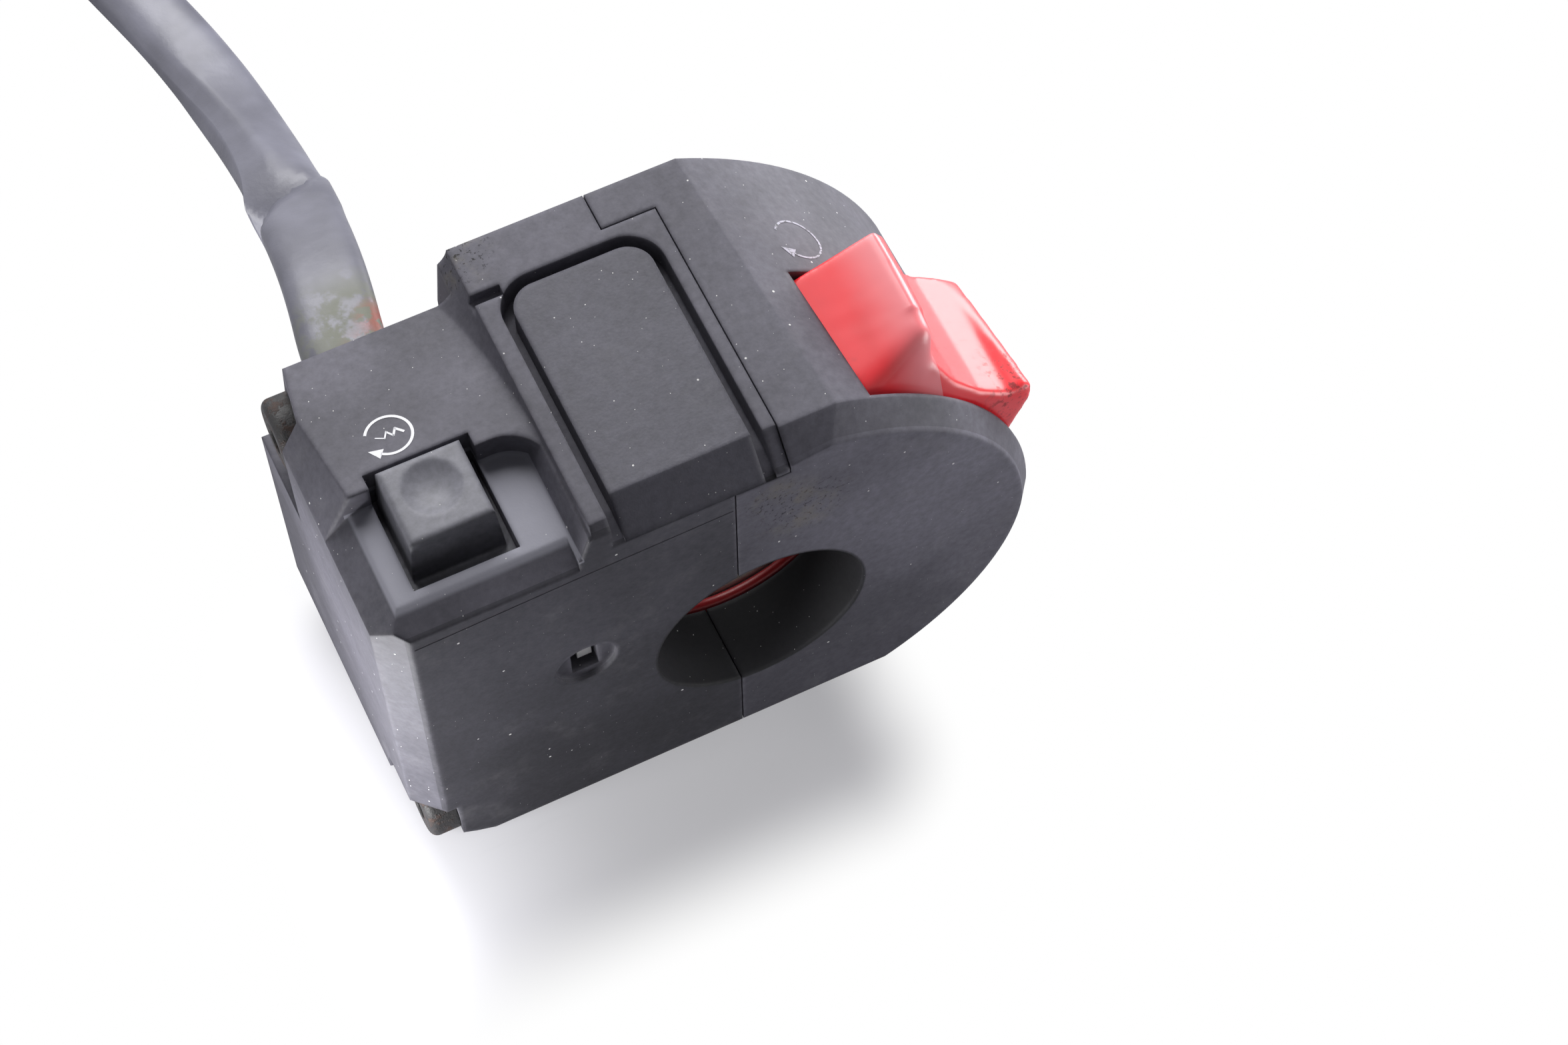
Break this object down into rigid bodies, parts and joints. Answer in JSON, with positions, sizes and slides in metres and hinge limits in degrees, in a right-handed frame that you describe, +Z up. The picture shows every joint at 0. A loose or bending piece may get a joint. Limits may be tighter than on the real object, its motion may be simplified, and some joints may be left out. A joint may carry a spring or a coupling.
{
  "type": "handlebar switch housing",
  "caption": "Two-part handlebar switch housing with a push starter button, a rocking engine kill switch, a blank cover and a sleeved wiring harness that ends in a plug.",
  "frame": {"origin": "on the axis of the handlebar bore, halfway along the bore", "axes": "+X along the housing from the starter end to the round kill end, +Y along the bar away from the rider's hand, +Z up through the deck that carries the button"},
  "size_m": [0.0985, 0.2066, 0.0515],
  "materials": {
    "upper_case": "matt",
    "lower_case": "matt",
    "blank_cover": "matt",
    "starter_button": "satin",
    "starter_moving_contact": "satin",
    "starter_switch_base": "matt",
    "starter_fixed_contacts": "satin",
    "starter_base_screws": "satin",
    "starter_return_spring": "satin",
    "case_screws": "rusty black",
    "case_screw_inserts": "satin",
    "window_contact": "satin",
    "kill_pivot_pin": "satin",
    "kill_switch_base": "matt",
    "kill_contact_slider": "matt",
    "kill_slider_contact": "satin",
    "kill_fixed_contacts": "satin",
    "kill_base_screws": "satin",
    "kill_rocker": "glossy",
    "kill_detent_plunger": "satin",
    "kill_detent_spring": "satin",
    "wire_red": "matt",
    "wire_white": "matt",
    "wire_black": "matt",
    "wire_yellow": "matt",
    "harness_grommet": "matt",
    "harness_sleeve": "satin",
    "harness_coil": "satin",
    "coil_tie": "satin",
    "connector_housing": "satin",
    "connector_terminals": "satin"
  },
  "bodies": {
    "housing": {"upper_case": "upper_case", "lower_case": "lower_case", "blank_cover": "blank_cover", "starter_switch_base": "starter_switch_base", "starter_fixed_contacts": "starter_fixed_contacts", "starter_base_screws": "starter_base_screws", "starter_return_spring": "starter_return_spring", "case_screws": "case_screws", "case_screw_inserts": "case_screw_inserts", "window_contact": "window_contact", "kill_pivot_pin": "kill_pivot_pin", "kill_switch_base": "kill_switch_base", "kill_fixed_contacts": "kill_fixed_contacts", "kill_base_screws": "kill_base_screws", "wire_red": "wire_red", "wire_white": "wire_white", "wire_black": "wire_black", "wire_yellow": "wire_yellow", "harness_grommet": "harness_grommet", "harness_sleeve": "harness_sleeve", "harness_coil": "harness_coil", "coil_tie": "coil_tie", "connector_housing": "connector_housing", "connector_terminals": "connector_terminals"},
    "button": {"starter_button": "starter_button", "starter_moving_contact": "starter_moving_contact"},
    "rocker": {"kill_rocker": "kill_rocker", "kill_detent_plunger": "kill_detent_plunger", "kill_detent_spring": "kill_detent_spring"},
    "slider": {"kill_contact_slider": "kill_contact_slider", "kill_slider_contact": "kill_slider_contact"}
  },
  "joints": [
    {"name": "starter_press", "type": "slide", "parent": "housing", "child": "button", "axis": [0, 0, 1], "range_m": [-0.0025, 0], "stiffness_N_per_m": 400, "springref_m": 0.001, "deforming": ["starter_return_spring"]},
    {"name": "kill_rock", "type": "hinge", "parent": "housing", "child": "rocker", "pos_m": [0.0165, 0, 0.0153], "axis": [0, 1, 0], "range_deg": [-18, 0]},
    {"name": "kill_slide", "type": "slide", "parent": "housing", "child": "slider", "axis": [0.7193, 0, -0.6947], "range_m": [0, 0.00145]}
  ],
  "couplings": [
    {"joint": "kill_rock", "follows": "kill_slide", "rad_per_m": -217.39}
  ]
}
